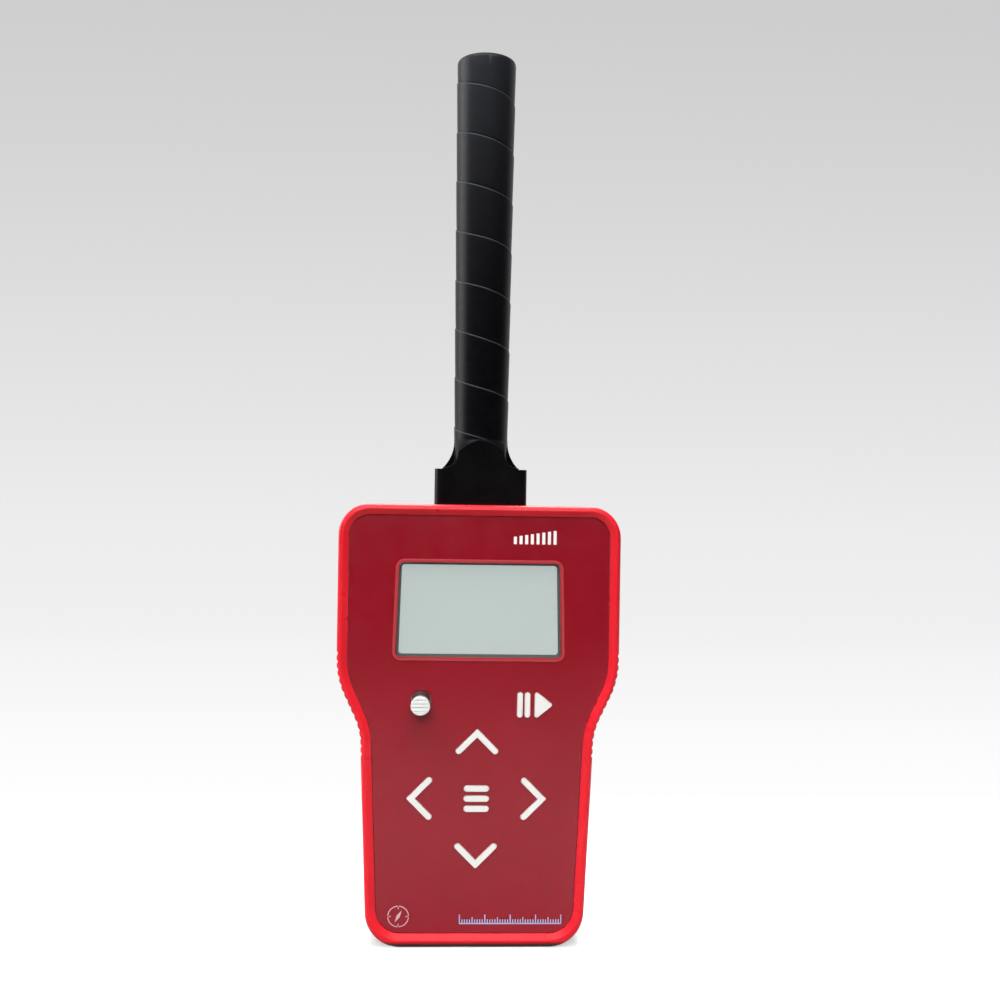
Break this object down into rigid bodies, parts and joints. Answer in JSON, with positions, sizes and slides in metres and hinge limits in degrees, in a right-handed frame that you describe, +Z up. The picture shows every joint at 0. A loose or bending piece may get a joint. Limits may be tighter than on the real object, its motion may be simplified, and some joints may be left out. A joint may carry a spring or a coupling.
{
  "type": "handheld magnetometer",
  "caption": "Handheld magnetometer: a waisted red case with a display, key symbols and a push button, and a black tape-wrapped probe that rises from its top end.",
  "frame": {"origin": "centre of the flat bottom end of the case, on the parting plane of its halves", "axes": "+Z up along the probe, -Y out of the front panel, +X to the right seen from the front"},
  "size_m": [0.1018, 0.0436, 0.3243],
  "materials": {
    "soft_red": "satin",
    "panel_film": "fine matt print",
    "shell_red": "fine moulded grain",
    "key_white": "matt",
    "mat_grey": "matt",
    "button_metal": "turned, with straight ribs",
    "clear_lens": "clear, polished",
    "display_grey": "flat reflective grey",
    "frame_dark": "satin moulded",
    "backlight_white": "matt",
    "board_green": "solder mask",
    "chip_black": "moulded",
    "dome_steel": "pressed",
    "screw_steel": "plated",
    "insert_brass": "turned",
    "cell_sleeve": "printed sleeve",
    "neck_black": "satin moulded",
    "gasket_black": "matt",
    "tape_black": "satin tape",
    "tube_black": "matt",
    "coil_copper": "enamelled wire",
    "core_grey": "drawn",
    "foam_grey": "foam",
    "cable_black": "satin",
    "plug_white": "moulded"
  },
  "bodies": {
    "case": {"front_bumper": "soft_red", "rear_bumper": "soft_red", "front_panel": "panel_film", "front_shell": "shell_red", "rear_shell": "shell_red", "keypad_mat": "mat_grey", "display_lens": "clear_lens", "lcd_glass": "display_grey", "lcd_frame": "frame_dark", "lcd_backlight": "backlight_white", "main_board": "board_green", "sensor_board": "board_green", "processor": "chip_black", "buzzer": "chip_black", "power_switch": "chip_black", "key_domes": "dome_steel", "battery_contacts": "dome_steel", "case_screws": "screw_steel", "board_screws": "screw_steel", "case_inserts": "insert_brass", "battery_cells": "cell_sleeve", "probe_neck": "neck_black", "neck_gasket": "gasket_black", "probe_wrap": "tape_black", "probe_tube": "tube_black", "probe_cap": "tube_black", "sensor_bobbin": "tube_black", "sensor_coil": "coil_copper", "sensor_core": "core_grey", "sensor_spacers": "foam_grey", "sensor_cable": "cable_black", "sensor_plug": "plug_white"},
    "key_up": {"key_up": "key_white"},
    "key_down": {"key_down": "key_white"},
    "key_left": {"key_left": "key_white"},
    "key_right": {"key_right": "key_white"},
    "key_menu": {"key_menu": "key_white"},
    "key_hold": {"key_hold": "key_white"},
    "power_button": {"power_button": "button_metal"},
    "battery_door": {"battery_door": "shell_red"}
  },
  "joints": [
    {"name": "key_up_press", "type": "slide", "parent": "case", "child": "key_up", "axis": [0, 1, 0], "range_m": [0, 0.0006], "stiffness_N_per_m": 2500},
    {"name": "key_down_press", "type": "slide", "parent": "case", "child": "key_down", "axis": [0, 1, 0], "range_m": [0, 0.0006], "stiffness_N_per_m": 2500},
    {"name": "key_left_press", "type": "slide", "parent": "case", "child": "key_left", "axis": [0, 1, 0], "range_m": [0, 0.0006], "stiffness_N_per_m": 2500},
    {"name": "key_right_press", "type": "slide", "parent": "case", "child": "key_right", "axis": [0, 1, 0], "range_m": [0, 0.0006], "stiffness_N_per_m": 2500},
    {"name": "key_menu_press", "type": "slide", "parent": "case", "child": "key_menu", "axis": [0, 1, 0], "range_m": [0, 0.0006], "stiffness_N_per_m": 2500},
    {"name": "key_hold_press", "type": "slide", "parent": "case", "child": "key_hold", "axis": [0, 1, 0], "range_m": [0, 0.0006], "stiffness_N_per_m": 2500},
    {"name": "power_button_press", "type": "slide", "parent": "case", "child": "power_button", "axis": [0, 1, 0], "range_m": [0, 0.0012], "stiffness_N_per_m": 2000},
    {"name": "battery_door_swing", "type": "hinge", "parent": "case", "child": "battery_door", "pos_m": [0, 0.014, 0.07115], "axis": [1, 0, 0], "range_deg": [0, 60]}
  ]
}
